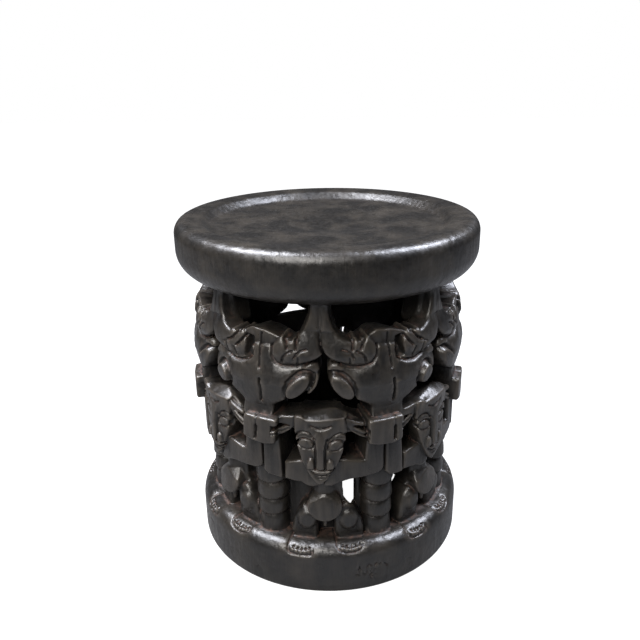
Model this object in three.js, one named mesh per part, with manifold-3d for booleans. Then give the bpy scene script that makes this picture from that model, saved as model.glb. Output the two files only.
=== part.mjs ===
// A stool carved from one block of dark wood: a thick dished seat held up by a ring of horned
// heads, which stand on the raised arms of a ring of squatting figures on a round base.
// Millimetres, +Z up, origin at the centre of the underside. The front figure looks along -Y.

import * as THREE from 'three';
import { mergeVertices } from 'three/addons/utils/BufferGeometryUtils.js';
import Module from 'manifold-3d';

const wasm = await Module();
wasm.setup();

// Driving dimensions
const figureCount = 7;
const seatRadius = 175;
const seatTop = 405;
const seatThickness = 60;
const rimCrest = 163;
const dishEdge = 143;
const dishRadius = 133.5;
const dishDepth = 14;
const baseRadius = 165;
const baseHeight = 61;
const carvedRadius = 157;
const hollowRadius = 118;
const coreRadius = 104;
const roundSides = 28;
const hollowSides = 14;

// Heights of the two carved tiers
const seatUnderside = seatTop - seatThickness;
const headTop = 314;
const browEdge = 263;
const jaw = 236;
const muzzleTop = 219;
const muzzleBottom = 187;
const crown = 224;
const faceTop = 222;
const chin = 141;
const elbow = 147;
const waist = 110;

// Distances from the axis, and sizes, of the lower figures
const legFront = 148;
const trunkFront = 140;
const skullFront = 150;
const bellyRadius = 19;
const bellyFront = 151.5;
const bellyMiddle = 107.5;
const postOut = 130;
const postRadius = 16.5;
const wallFront = 124;

const sector = (2 * Math.PI) / figureCount;

// What differs round the ring, figure by figure to the right from the front: which gaps beside
// the body are cut right through, how far the post and the muzzle on its right stand off their
// places, and the height that a wall inside, above the crown, reaches
const around = [
  { gaps: [false, true], post: 0, muzzle: -5 },
  { gaps: [true, false], post: 0, muzzle: 1 },
  { gaps: [false, true], post: 1.5, muzzle: -2 },
  { gaps: [false, false], post: -9, muzzle: 2, wallTop: 258 },
  { gaps: [false, false], post: 0, muzzle: 0, wallTop: 241 },
  { gaps: [false, true], post: -1.5, muzzle: -1.5 },
  { gaps: [true, false], post: -4, muzzle: 6 },
];

// Helpers: everything is first laid out flat, as if the log were unrolled. There x runs round
// the log at the carved radius, -y is the distance from the axis, and z is the height.

function solid(geometry) {
  const bare = geometry.clone();
  bare.deleteAttribute('normal');
  bare.deleteAttribute('uv');
  const merged = mergeVertices(bare, 1e-3);
  return new wasm.Manifold(new wasm.Mesh({
    numProp: 3,
    vertProperties: new Float32Array(merged.attributes.position.array),
    triVerts: new Uint32Array(merged.index.array),
  }));
}

function reshape(geometry, move) {
  const points = geometry.attributes.position;
  const point = new THREE.Vector3();
  for (let i = 0; i < points.count; i += 1) {
    move(point.fromBufferAttribute(points, i));
    points.setXYZ(i, point.x, point.y, point.z);
  }
  return geometry;
}

// Brings a flat piece round the log, whole, so that its place at x faces straight outwards
function bring(geometry, x = 0, turn = 0) {
  geometry.translate(-x, 0, 0);
  geometry.rotateZ(turn + x / carvedRadius);
  return solid(geometry);
}

// A piece sawn to an outline of [x, z] points, between two distances from the axis, with its
// front edges drawn in towards the middle of the outline
function slab(outline, inner, outer, frontScale = 1) {
  const corners = outline.map(([x, z]) => new THREE.Vector2(x, z));
  const geometry = new THREE.ExtrudeGeometry(new THREE.Shape(corners), {
    depth: outer - inner,
    bevelEnabled: false,
  });
  geometry.rotateX(Math.PI / 2);
  geometry.translate(0, -inner, 0);
  const middle = corners.reduce((sum, c) => sum.add(c), new THREE.Vector2());
  middle.divideScalar(corners.length);
  const halfway = -(inner + outer) / 2;
  return reshape(geometry, (p) => {
    if (p.y < halfway) {
      p.x = middle.x + (p.x - middle.x) * frontScale;
      p.z = middle.y + (p.z - middle.y) * frontScale;
    }
  });
}

// A low raised oval, turned in the plane of the surface, with sides drawn in towards its top
function oval(width, height, turn, inner, outer, place) {
  const sides = 6;
  const outline = [];
  for (let i = 0; i < sides; i += 1) {
    const angle = (i * 2 * Math.PI) / sides;
    const along = (Math.cos(angle) * width) / 2;
    const across = (Math.sin(angle) * height) / 2;
    const x = along * Math.cos(turn) - across * Math.sin(turn);
    const z = along * Math.sin(turn) + across * Math.cos(turn);
    outline.push([place[0] + x, place[1] + z]);
  }
  return slab(outline, inner, outer, 0.8);
}

// A thin double wedge that cuts a V groove; long along z before it is turned
function groove(length, width, depth) {
  const geometry = new THREE.OctahedronGeometry(1);
  return geometry.scale(width / 2, depth, length / 2);
}

// An outline of [x, z] points down the right side, and up the left a near mirror image: the
// carver worked by eye, so the left is a touch narrower and higher
function bothSides(half) {
  return [...half, ...half.map(([x, z]) => [-x * 0.975, z + 1.3]).reverse()];
}

// Bends a wide flat piece back at both sides, to follow the round of the log
function wrap(geometry) {
  return reshape(geometry, (p) => {
    p.y += p.x ** 2 / (2 * carvedRadius);
  });
}

function join(pieces) {
  return pieces.reduce((whole, piece) => whole.add(piece));
}

// The seat: a thick round, fuller below than above, with a rim that falls a little to a dish
function seat() {
  const profile = [
    [0, seatUnderside],
    [seatRadius - 27, seatUnderside],
    [seatRadius - 9, seatUnderside + 7],
    [seatRadius - 1.5, seatUnderside + 18],
    [seatRadius, seatTop - 26],
    [seatRadius - 3, seatTop - 9],
    [rimCrest, seatTop],
    [dishEdge, seatTop - 2.5],
    [dishRadius, seatTop - dishDepth],
    [0, seatTop - dishDepth],
  ];
  return lathe(profile);
}

// The base: a heavy round with soft edges
function base() {
  const profile = [
    [0, 0],
    [baseRadius - 9, 0],
    [baseRadius - 1, 8],
    [baseRadius, 36],
    [baseRadius - 5, 51],
    [baseRadius - 16, baseHeight],
    [0, baseHeight],
  ];
  return lathe(profile);
}

// The core of the log, taken out from below up to the seat
function hollow() {
  const length = seatUnderside + 10;
  const geometry = new THREE.CylinderGeometry(hollowRadius, hollowRadius, length, hollowSides);
  geometry.rotateX(Math.PI / 2);
  geometry.translate(0, 0, length / 2 - 5);
  return solid(geometry);
}

function lathe(profile) {
  const points = profile.map(([out, z]) => new THREE.Vector2(out, z));
  const geometry = new THREE.LatheGeometry(points, roundSides);
  geometry.rotateX(Math.PI / 2);
  return solid(geometry);
}

// The lower figure's mask-like face, wide at the brow and pointed at the chin
function face() {
  const outline = [
    [-28, faceTop],
    [25, faceTop],
    [26, faceTop - 20],
    [14, faceTop - 60],
    [2, chin + 2],
    [-5, chin + 2],
    [-17, faceTop - 60],
    [-29, faceTop - 20],
  ];
  const mask = bring(slab(outline, 138, carvedRadius, 0.96));
  const nose = slab([[-4, 202], [1, 202], [3.5, 163], [-6.5, 163]], 150, carvedRadius + 3.5, 0.8);
  const eyes = [-1, 1].map((side) => {
    return bring(oval(18, 12, 0, 150, carvedRadius + 2.5, [-2 + side * 15.5, 190]));
  });
  const mouth = groove(26, 4.5, 3);
  mouth.rotateY(Math.PI / 2);
  mouth.translate(-1.5, -carvedRadius, 159);
  return join([mask, ...eyes, bring(nose)]).subtract(bring(mouth));
}

// The head behind the face, flat on top, and two drooping ears, the left one longer
function crownAndEars() {
  const outline = [
    [26, crown],
    [36, 218],
    [48, 213],
    [47, 192],
    [24, 206],
    [22, 166],
    [-22, 166],
    [-30, 208],
    [-54, 194],
    [-54, 215],
    [-41, crown - 2],
    [-29, crown],
  ];
  return bring(slab(outline, coreRadius, skullFront));
}

// Arms held out from the shoulders and bent up at square elbows, so that the forearms of two
// neighbours carry the muzzle between them
function arms() {
  const half = [
    [12, 172],
    [44, 167],
    [45, muzzleBottom + 4],
    [70, muzzleBottom + 4],
    [70, elbow + 3],
    [62, elbow - 2.5],
    [14, chin - 5],
  ];
  return bring(wrap(slab(bothSides(half), coreRadius, 157, 0.93)));
}

// Squatting body: trunk and splayed legs in one, with the trunk's front set back from the
// knees, the round belly like a thick disc, and the feet on the base's edge
function body() {
  const half = [
    [19, chin + 4],
    [21, 126],
    [40, 96],
    [43, baseHeight - 8],
    [10, baseHeight - 8],
    [8, 84],
  ];
  const legs = reshape(slab(bothSides(half), coreRadius, legFront, 0.96), (p) => {
    if (p.y < -trunkFront && p.z > waist) {
      p.y = -trunkFront;
    }
  });
  const depth = 26;
  const belly = new THREE.CylinderGeometry(bellyRadius - 1, bellyRadius + 1, depth, 8);
  belly.rotateX(Math.PI / 2);
  belly.translate(-1, depth / 2 - bellyFront, bellyMiddle);
  const feet = [-1, 1].map((side) => bring(foot(side), side * 28));
  const between = bring(slab(rectangle(-12, 12, baseHeight - 6, waist - 10), coreRadius, wallFront));
  return join([bring(legs), bring(belly), between, ...feet]);
}

// One foot: a low wedge that slopes to the edge, with a bowed front
function foot(side) {
  const corners = [
    [16, 128],
    [14, 152],
    [28, 159],
    [42, 152],
    [40, 128],
  ].map(([x, out]) => new THREE.Vector2(side * x, out));
  const geometry = new THREE.ExtrudeGeometry(new THREE.Shape(corners), {
    depth: 22,
    bevelEnabled: false,
  });
  geometry.rotateX(Math.PI);
  return reshape(geometry, (p) => {
    p.z += 68 - 0.42 * Math.max(0, -p.y - 134);
  });
}

// The banded post under each pair of elbows
function post() {
  const bottom = baseHeight - 4;
  const top = elbow + 6;
  const rings = [85, 104, 127];
  const flare = 0.8;
  const cut = 2.5;
  const profile = [new THREE.Vector2(0, bottom), new THREE.Vector2(postRadius - 2, bottom)];
  rings.forEach((z, i) => {
    const radius = postRadius + flare * i;
    profile.push(new THREE.Vector2(radius, z - 2));
    profile.push(new THREE.Vector2(radius - cut, z));
  });
  profile.push(new THREE.Vector2(postRadius, top));
  profile.push(new THREE.Vector2(0, top));
  const geometry = new THREE.LatheGeometry(profile, 6);
  geometry.rotateX(Math.PI / 2);
  geometry.translate(0, -postOut, 0);
  return bring(geometry);
}

// The wall behind a post, left standing as far as the legs where a gap isn't cut through
function backWall(leftOpen, rightOpen) {
  const openGap = 20;
  const closedGap = 50;
  const left = leftOpen ? -openGap : -closedGap;
  const right = rightOpen ? openGap : closedGap;
  return bring(slab(rectangle(left, right, baseHeight - 6, elbow), coreRadius, wallFront));
}

// A wall inside, above a figure's crown, that joins the two heads beside it
function crownWall(top) {
  return bring(slab(rectangle(-46, 46, crown - 6, top), coreRadius, wallFront + 2));
}

function rectangle(left, right, bottom, top) {
  return [[left, bottom], [right, bottom], [right, top], [left, top]];
}

// The upper head: a plate with the outline of cheeks and horns, which rise to the seat on each
// side of a window, with the long face standing forward from it
function hornedPlate() {
  const half = [
    [47, headTop - 4],
    [55, seatUnderside + 8],
    [68.5, seatUnderside + 8],
    [67, headTop - 24],
    [68.5, 266],
    [62, 254],
    [34, 241],
    [20, jaw - 10],
  ];
  return bring(wrap(slab(bothSides(half), coreRadius, 153, 0.95)), 0, sector / 2);
}

function longFace() {
  const rows = [jaw - 8, 243, browEdge, headTop];
  const widths = [17, 28, 40, 16];
  const radii = [157, 160, 161.5, 154.5];
  return bring(shapedBlock(rows, widths, radii, 138, 3), 0, sector / 2);
}

// The muzzle: a block that stands on the two forearms, with a ledge on top
function muzzle(shift) {
  const rows = [muzzleBottom, muzzleTop, jaw + 2];
  const widths = [19, 21, 17];
  const radii = [163, 164.5, 156];
  const block = shapedBlock(rows, widths, radii, coreRadius, 2);
  return bring(block.translate(shift, 0, 0), 0, sector / 2);
}

// A block built up in rows, each with its own half width and distance from the axis, and a
// front that falls back at both sides
function shapedBlock(rows, widths, radii, back, fall) {
  const levels = rows.length - 1;
  const geometry = new THREE.BoxGeometry(2, 2, levels, 2, 1, levels);
  return reshape(geometry, (p) => {
    const row = Math.round(p.z + levels / 2);
    const front = radii[row] - fall * Math.abs(p.x);
    p.set(p.x * widths[row], p.y < 0 ? -front : -back, rows[row]);
  });
}

// The knob that each horn grows from, notched across its top
function knob(side) {
  const outline = [
    [14, 296],
    [22, 315],
    [30, 304],
    [39, 312],
    [56, 291],
    [44, 281],
    [22, 281],
  ];
  const shape = slab(outline.map(([x, z]) => [side * x, z]), 140, 157, 0.96);
  return bring(shape, side * 34, sector / 2);
}

// The raised oval eyes lean outwards over the cheeks
function oxEyes() {
  return [-1, 1].map((side) => {
    return bring(oval(27, 16, side * 0.85, 140, 159, [side * 50.5, 258.5]), side * 50, sector / 2);
  });
}

// Two upright cuts down the middle: brow with nose, and muzzle
function headGrooves() {
  const cuts = [
    [276, 72, 158],
    [203, 27, 163.5],
  ];
  return cuts.map(([z, length, front]) => {
    const cut = groove(length, 4.5, 5);
    return bring(cut.translate(0.6, -front, z), 0, sector / 2);
  });
}

// The parts of a sector that are alike all round: the figure, and the head on its right
function figure() {
  return join([face(), crownAndEars(), body(), arms()]);
}

function head() {
  return join([hornedPlate(), longFace(), knob(-1), knob(1), ...oxEyes()]);
}

// One seventh of the ring, with what differs there
function oneSector(alike, place, next) {
  const middle = 180 / figureCount + (180 / Math.PI) * (place.post / carvedRadius);
  const wall = backWall(place.gaps[1], next.gaps[0]);
  const pieces = [alike, muzzle(place.muzzle), join([post(), wall]).rotate([0, 0, middle])];
  if (place.wallTop) {
    pieces.push(crownWall(place.wallTop));
  }
  return headGrooves().reduce((rest, cut) => rest.subtract(cut), join(pieces));
}

function carveStool() {
  const alike = figure().add(head());
  const log = around.reduce((whole, place, i) => {
    const piece = oneSector(alike, place, around[(i + 1) % figureCount]);
    return whole.add(piece.rotate([0, 0, (360 / figureCount) * i]));
  }, base());
  return log.subtract(hollow()).add(seat());
}

function toGeometry(manifold) {
  const mesh = manifold.getMesh();
  const geometry = new THREE.BufferGeometry();
  geometry.setAttribute('position', new THREE.BufferAttribute(mesh.vertProperties, 3));
  geometry.setIndex(new THREE.BufferAttribute(mesh.triVerts, 1));
  geometry.computeVertexNormals();
  return geometry;
}

const waxedWood = new THREE.MeshStandardMaterial({ color: 0x2a2522, roughness: 0.45, metalness: 0 });
const stool = new THREE.Mesh(toGeometry(carveStool()), waxedWood);
stool.name = 'stool';

const group = new THREE.Group();
group.add(stool);

export default group;
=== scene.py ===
import math

import bpy
import numpy as np
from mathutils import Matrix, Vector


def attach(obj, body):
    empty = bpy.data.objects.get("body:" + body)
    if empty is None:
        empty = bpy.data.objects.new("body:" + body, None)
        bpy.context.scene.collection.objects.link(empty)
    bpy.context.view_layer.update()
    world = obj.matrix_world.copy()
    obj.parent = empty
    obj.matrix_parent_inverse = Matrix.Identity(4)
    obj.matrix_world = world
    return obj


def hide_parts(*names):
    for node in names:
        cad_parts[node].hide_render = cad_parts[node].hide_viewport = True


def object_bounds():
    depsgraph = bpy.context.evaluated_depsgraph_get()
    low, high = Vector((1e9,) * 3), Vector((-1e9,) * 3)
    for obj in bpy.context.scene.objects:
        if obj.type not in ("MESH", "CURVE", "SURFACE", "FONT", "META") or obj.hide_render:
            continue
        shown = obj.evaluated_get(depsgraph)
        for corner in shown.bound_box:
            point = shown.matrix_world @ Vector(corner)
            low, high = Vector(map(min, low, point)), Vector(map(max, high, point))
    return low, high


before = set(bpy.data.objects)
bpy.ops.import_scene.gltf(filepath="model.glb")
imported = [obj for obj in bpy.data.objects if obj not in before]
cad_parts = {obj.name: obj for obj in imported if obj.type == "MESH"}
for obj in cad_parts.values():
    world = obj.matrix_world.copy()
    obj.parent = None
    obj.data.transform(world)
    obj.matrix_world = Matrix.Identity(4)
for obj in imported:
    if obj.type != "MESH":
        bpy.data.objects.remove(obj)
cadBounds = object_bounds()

import openvdb
from mathutils import Matrix, Vector

# The stool is shaped as if in clay: a block of numbers, one every step, that say how far each
# point is from the surface. Pieces are added and cut away round the log, and the surface is
# drawn through the zeros at the end. All sizes here are millimetres.
block = {
    "step": 1.25,
    "reach": 179.0,  # half the block's width
    "low": -5.0,
    "high": 410.0,
    "empty": 12.0,  # what the block says before anything is added
    "triangles": 196000,  # what the finished mesh may hold
}
log = {
    "figures": 7,  # squatting figures round the ring, and as many heads between them
    "face": 157.0,  # distance of the carved faces from the middle of the log
    "hollow": 118.0,  # radius of the open inside
    "wall": 124.0,  # how far out the plain walls between the carvings stand
    "shapedFace": 168.0,  # no board with a shaped face stands further out than this
    "cutFrom": 172.0,  # grooves and pads are worked inwards from here
    "seatUnderside": 345.0,
}
margins = {
    # how far round a shape the block is worked
    "add": 10.0,
    "cut": 4.0,
    "press": 3.0,
    "turned": 14.0,  # for the seat and the base
    "lean": 90.0,  # most height over which a unit's lean moves it
    "tip": 75.0,  # most width over which its tip does
}
inner = log["hollow"] - 2  # where every board of the carving starts

axisLine = np.arange(-block["reach"], block["reach"], block["step"], dtype=np.float32)
heightLine = np.arange(block["low"], block["high"], block["step"], dtype=np.float32)
acrossX, acrossY = np.meshgrid(axisLine, axisLine, indexing="ij")
outFlat = np.hypot(acrossX, acrossY)
roundFlat = np.arctan2(acrossX, -acrossY)  # 0 at the front, growing to the viewer's right
clay = np.full(outFlat.shape + heightLine.shape, block["empty"], dtype=np.float32)


def softMin(a, b, blend):
    if blend <= 0:
        return np.minimum(a, b)
    near = np.maximum(blend - np.abs(a - b), 0) / blend
    return np.minimum(a, b) - near * near * (blend / 4)


def softMax(a, b, blend):
    return -softMin(-a, -b, blend)


def makeUnit(index, turn, shift=0.0, lean=0.0, tip=0.0, middle=200.0):
    # one figure, head or post: u runs round the log from its own middle, r outwards, z up
    side = (roundFlat - turn + math.pi) % (2 * math.pi) - math.pi
    return {
        "side": (side * log["face"]).astype(np.float32),
        "shift": shift,
        "lean": lean,
        "tip": tip,
        "middle": middle,
        "draw": np.random.default_rng(100 + index),
    }


def vary(unit, amount):
    return float(unit["draw"].uniform(-amount, amount))


def spot(unit, bounds, margin):
    # the part of the block round a shape, with u, r and z for each point in it
    u0, u1, r0, r1, z0, z1 = bounds
    side = unit["side"]
    slack = margin + abs(unit["shift"]) + margins["lean"] * abs(unit["lean"])
    held = (side > u0 - slack) & (side < u1 + slack) & (outFlat > r0 - margin) & (outFlat < r1 + margin)
    rows = np.flatnonzero(held.any(axis=1))
    columns = np.flatnonzero(held.any(axis=0))
    rise = margin + abs(unit["tip"]) * margins["tip"]
    levels = np.flatnonzero((heightLine > z0 - rise) & (heightLine < z1 + rise))
    if not (len(rows) and len(columns) and len(levels)):
        return None
    part = (
        slice(rows[0], rows[-1] + 1),
        slice(columns[0], columns[-1] + 1),
        slice(levels[0], levels[-1] + 1),
    )
    flat = side[part[0], part[1]][..., None]
    r = outFlat[part[0], part[1]][..., None]
    z = heightLine[part[2]][None, None, :]
    u = flat - unit["shift"] - unit["lean"] * (z - unit["middle"])
    z = z - unit["tip"] * flat
    return part, u.astype(np.float32), r, z.astype(np.float32)


def add(unit, shape, blend):
    bounds, measure = shape
    found = spot(unit, bounds, margins["add"])
    if found:
        part, u, r, z = found
        clay[part] = softMin(clay[part], measure(u, r, z), blend)


def cut(unit, shape, blend=1.0):
    bounds, measure = shape
    found = spot(unit, bounds, margins["cut"])
    if found:
        part, u, r, z = found
        clay[part] = softMax(clay[part], -measure(u, r, z), blend)


def press(unit, shape):
    # moves the surface in where the measure is above zero, and out where it is below
    bounds, measure = shape
    found = spot(unit, bounds, margins["press"])
    if found:
        part, u, r, z = found
        clay[part] += measure(u, r, z)


def pathDistance(u, z, path):
    # distance to a line of (u, z, half width) points, less the width
    best = None
    for (u0, z0, w0), (u1, z1, w1) in zip(path, path[1:]):
        du, dz = u1 - u0, z1 - z0
        along = np.clip(((u - u0) * du + (z - z0) * dz) / (du * du + dz * dz), 0, 1)
        gap = np.hypot(u - u0 - along * du, z - z0 - along * dz) - (w0 + (w1 - w0) * along)
        best = gap if best is None else np.minimum(best, gap)
    return best


def outlineDistance(u, z, outline):
    nearest = None
    inside = 1.0
    for (u0, z0), (u1, z1) in zip(outline, outline[-1:] + outline[:-1]):
        eu, ez = u1 - u0, z1 - z0
        wu, wz = u - u0, z - z0
        along = np.clip((wu * eu + wz * ez) / (eu * eu + ez * ez), 0, 1)
        gap = (wu - along * eu) ** 2 + (wz - along * ez) ** 2
        nearest = gap if nearest is None else np.minimum(nearest, gap)
        above, below = z >= z0, z < z1
        left = eu * wz > ez * wu
        crossing = (above & below & left) | (~above & ~below & ~left)
        inside = np.where(crossing, -inside, inside)
    return inside * np.sqrt(nearest)


def thicken(flat, r, back, front, soft):
    deep = np.maximum(back - r, r - front) + soft
    flat = flat + soft
    within = np.minimum(np.maximum(flat, deep), 0)
    return within + np.hypot(np.maximum(flat, 0), np.maximum(deep, 0)) - soft


def frontReach(front):
    return log["shapedFace"] if callable(front) else front


def plank(outline, back, front, soft, draft=0.0):
    # a board with the outline of (u, z) points; draft draws its sides in towards the front
    us, zs = zip(*outline)
    bounds = (min(us), max(us), back, frontReach(front), min(zs), max(zs))

    def measure(u, r, z):
        face = front(u, z) if callable(front) else front
        flat = outlineDistance(u, z, outline) + draft * (r - back)
        return thicken(flat, r, back, face, soft)

    return bounds, measure


def strap(path, back, front, soft):
    # a board that follows a line of (u, z, half width) points
    us, zs, ws = zip(*path)
    wide = max(ws)
    bounds = (
        min(us) - wide, max(us) + wide, back, frontReach(front),
        min(zs) - wide, max(zs) + wide,
    )

    def measure(u, r, z):
        face = front(u, z) if callable(front) else front
        return thicken(pathDistance(u, z, path), r, back, face, soft)

    return bounds, measure


def tube(path):
    # a round limb through (u, r, z, radius) points
    us, rs, zs, ws = zip(*path)
    wide = max(ws)
    bounds = (
        min(us) - wide, max(us) + wide, min(rs) - wide, max(rs) + wide,
        min(zs) - wide, max(zs) + wide,
    )

    def measure(u, r, z):
        best = None
        for (u0, r0, z0, w0), (u1, r1, z1, w1) in zip(path, path[1:]):
            du, dr, dz = u1 - u0, r1 - r0, z1 - z0
            along = ((u - u0) * du + (r - r0) * dr + (z - z0) * dz) / (du * du + dr * dr + dz * dz)
            along = np.clip(along, 0, 1)
            pu, pr, pz = u - u0 - along * du, r - r0 - along * dr, z - z0 - along * dz
            gap = np.sqrt(pu ** 2 + pr ** 2 + pz ** 2)
            gap = gap - (w0 + (w1 - w0) * along)
            best = gap if best is None else np.minimum(best, gap)
        return best

    return bounds, measure


def groove(path, width, depth, back):
    # a V cut along (u, z) points, running out at both ends and nowhere further in than back
    us, zs = zip(*path)
    half = width / 2
    bounds = (min(us) - half, max(us) + half, back, log["cutFrom"], min(zs) - half, max(zs) + half)
    line = [(a, b, 0.0) for a, b in path]

    def measure(u, r, z):
        gap = pathDistance(u, z, line)
        return depth * np.clip(1 - gap / half, 0, 1) * (r > back)

    return bounds, measure


def sink(outline, depth, edge, back, fade=None):
    # lowers what is inside the outline, or raises it where depth is below zero; fade gives
    # two heights between which it comes in
    us, zs = zip(*outline)
    bounds = (min(us) - edge, max(us) + edge, back, log["cutFrom"], min(zs) - edge, max(zs) + edge)

    def measure(u, r, z):
        near = np.clip(0.5 - outlineDistance(u, z, outline) / edge, 0, 1)
        near = near * near * (3 - 2 * near) * (r > back)
        if fade:
            near = near * np.clip((z - fade[0]) / (fade[1] - fade[0]), 0, 1)
        return depth * near

    return bounds, measure


def oval(centre, long, short, turn, height, edge, back):
    # a pad with a rounded top, or a hollow where height is below zero
    cu, cz = centre
    reach = long / 2 + edge
    bounds = (cu - reach, cu + reach, back, log["cutFrom"], cz - reach, cz + reach)
    cosTurn, sinTurn = math.cos(turn), math.sin(turn)

    def measure(u, r, z):
        a = ((u - cu) * cosTurn + (z - cz) * sinTurn) / (long / 2)
        b = ((z - cz) * cosTurn - (u - cu) * sinTurn) / (short / 2)
        gap = (np.sqrt(a * a + b * b) - 1) * short / 2
        near = np.clip(0.5 - gap / edge, 0, 1)
        return -height * near * near * (3 - 2 * near) * (r > back)

    return bounds, measure


def peephole(outline, back, front, slope):
    # a hole that keeps its outline for an eye that looks down into it
    us, zs = zip(*outline)
    drop = (front - back) * slope
    before, after = 10, 18  # what it gains to the sides as it widens towards the back
    bounds = (min(us) - before, max(us) + after, back, front, min(zs) - drop, max(zs))

    def measure(u, r, z):
        seenAt = u * r / log["face"], z + (log["face"] - r) * slope
        return np.maximum(outlineDistance(*seenAt, outline), np.maximum(back - r, r - front))

    return bounds, measure


def arc(centre, long, short, turn, start, end, count=9):
    # points along part of an oval, start and end in degrees
    cu, cz = centre
    points = []
    for i in range(count):
        angle = math.radians(start + (end - start) * i / (count - 1))
        a, b = math.cos(angle) * long / 2, math.sin(angle) * short / 2
        points.append((
            cu + a * math.cos(turn) - b * math.sin(turn),
            cz + a * math.sin(turn) + b * math.cos(turn),
        ))
    return points


def addWall(unit, start, end, low, high, front):
    # a plain board between two places round the log
    add(unit, plank([(start, high), (start, low), (end, low), (end, high)], inner, front, 2), 1)


def engrave(unit, cuts, back, side=1):
    for path, width, depth in cuts:
        press(unit, groove(mirror(path, side), width, depth, back))


def mirror(points, side):
    return [(side * point[0],) + tuple(point[1:]) for point in points]


def roundCorner(r, z, rFrom, rTo, zFrom, zTo, soft):
    # distance to a rounded rectangle that is turned round the axis
    a = np.maximum(rFrom - r, r - rTo) + soft
    b = np.maximum(zFrom - z, z - zTo) + soft
    return np.minimum(np.maximum(a, b), 0) + np.hypot(np.maximum(a, 0), np.maximum(b, 0)) - soft


# Seat and base

seatSizes = {
    # half a millimetre within the solid
    "radius": round(cadBounds[1][0] * 1000, 1) - 0.5,
    "top": round(cadBounds[1][2] * 1000, 1) - 0.5,
    "shoulder": 15.0,  # rounding of the rim above
    "belly": 27.0,  # rounding of the rim below
    "crest": 163.0,  # the rim falls a little from here to the dish
    "fall": 0.13,
    "crestSoft": 5.0,
    "dish": 133.5,  # radius of the dish at its floor
    "dishSlope": 0.95,
    "dishAcross": 0.72,  # turns a width across that slope into a distance from it
    "dishDepth": 13.5,
    "dishFoot": 4.0,  # rounding where the dish's wall meets its floor
    "dishLip": 1.6,
}
baseSizes = {
    "radius": 164.5,
    "height": 61.0,
    "shoulder": 17.0,
    "footEdge": 6.0,
    "innerSoft": 6.0,
}


def shapeSeat():
    s = seatSizes
    low, top = log["seatUnderside"], s["top"]
    inside, past = -300, 90  # puts the sides that aren't rounded out of the way
    middle = (top + low) / 2
    levels = heightLine > low - margins["turned"]
    z = heightLine[levels][None, None, :]
    r = outFlat[..., None]
    above = roundCorner(r, z, inside, s["radius"], low - past, top, s["shoulder"])
    below = roundCorner(r, z, inside, s["radius"], low, top + past, s["belly"])
    rim = np.where(z > middle, above, below)
    slope = z - top + np.maximum(s["crest"] - r, 0) * s["fall"]
    rim = softMax(rim, slope, s["crestSoft"])
    floor = top - s["dishDepth"]
    wall = (r - s["dish"] - s["dishSlope"] * (z - floor)) * s["dishAcross"]
    dish = np.maximum(wall, floor - z)
    seat = softMax(rim, -softMax(dish, floor - z, s["dishFoot"]), s["dishLip"])
    clay[:, :, levels] = softMin(clay[:, :, levels], seat.astype(np.float32), 3.0)


def shapeBase():
    s = baseSizes
    inside, under, over = 60, -40, 90  # puts the sides that aren't rounded out of the way
    levels = heightLine < s["height"] + margins["turned"]
    z = heightLine[levels][None, None, :]
    r = outFlat[..., None]
    body = roundCorner(r, z, inside, s["radius"], under, s["height"], s["shoulder"])
    foot = roundCorner(r, z, inside, s["radius"], 0, over, s["footEdge"])
    base = softMax(np.maximum(body, foot), log["hollow"] - 1 - r, s["innerSoft"])
    clay[:, :, levels] = softMin(clay[:, :, levels], base.astype(np.float32), 2.0)


# Squatting figures

figureSizes = {
    "faceFront": 159.8,  # how far out the middle of the face stands
    "faceBow": 0.003,  # how fast it falls away to both sides
    "armFront": 155.0,
    "earFront": 155.5,
    "skullFront": 150.0,
    "crownTop": 221.0,
    "belly": (-1, 137.0, 107.5),  # middle of the round belly: u, r, z
    "bellySize": (20.5, 14.5, 18.0),  # half its width, depth and height
    "bellyLean": 0.16,
    "facet": (0.38, 0.60, 0.70),  # which way the belly's side facets face
    "facetAt": (0.96, 1.02),  # how far out the middle facet and the others lie, as shares
    "legFront": 148.5,
    "knees": ((28.5, 86), (-22.5, 86.5)),
    "kneeSize": (29, 32),
    # cuts go no further in than these
    "faceSkin": 150.0,
    "earSkin": 140.0,
    "slitEnd": 128.0,
    "elbowSkin": 146.0,
}


def shapeFigure(unit):
    shapeTrunk(unit)
    shapeArms(unit)
    shapeSkull(unit)
    shapeFace(unit)


def shapeTrunk(unit):
    s = figureSizes
    trunk = [(-16, 146), (22.5, 146), (22.5, 117), (30, 101), (-28, 99), (-17, 118)]
    add(unit, plank(trunk, inner, 138, 4), 3)
    add(unit, tube([(-3, 138, 141, 9), (0, 133, 118, 14)]), 6)
    addWall(unit, 16, -16, 55, 112, 126)
    rightLeg = [
        (9, 96), (15, 104), (27, 108.5), (32, 106), (39, 98), (46, 86), (50, 72), (50, 56), (13, 56),
        (10, 76),
    ]
    leftLeg = [
        (-8, 96), (-15, 102), (-27, 105), (-35, 97), (-41, 84), (-44, 70), (-44, 56), (-9, 56),
        (-8, 76),
    ]
    for outline in (rightLeg, leftLeg):
        add(unit, plank(outline, inner, s["legFront"] - 4, 5, 0.04), 1.5)
    # each knee is a rounded block that stands a little forward
    for knee in s["knees"]:
        kneeBlock = arc(knee, *s["kneeSize"], 0, 0, 330, 12)
        add(unit, plank(kneeBlock, 130, s["legFront"] + 0.5, 6, 0.16), 2.0)
    # a short peg between the knees
    add(unit, tube([(0, 140, 92, 5), (0, 143, 79, 2.5)]), 2.5)
    sideways, out, high = s["belly"]
    add(unit, roundBelly((sideways + vary(unit, 1.0), out, high), s["bellySize"]), 1.0)


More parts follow.
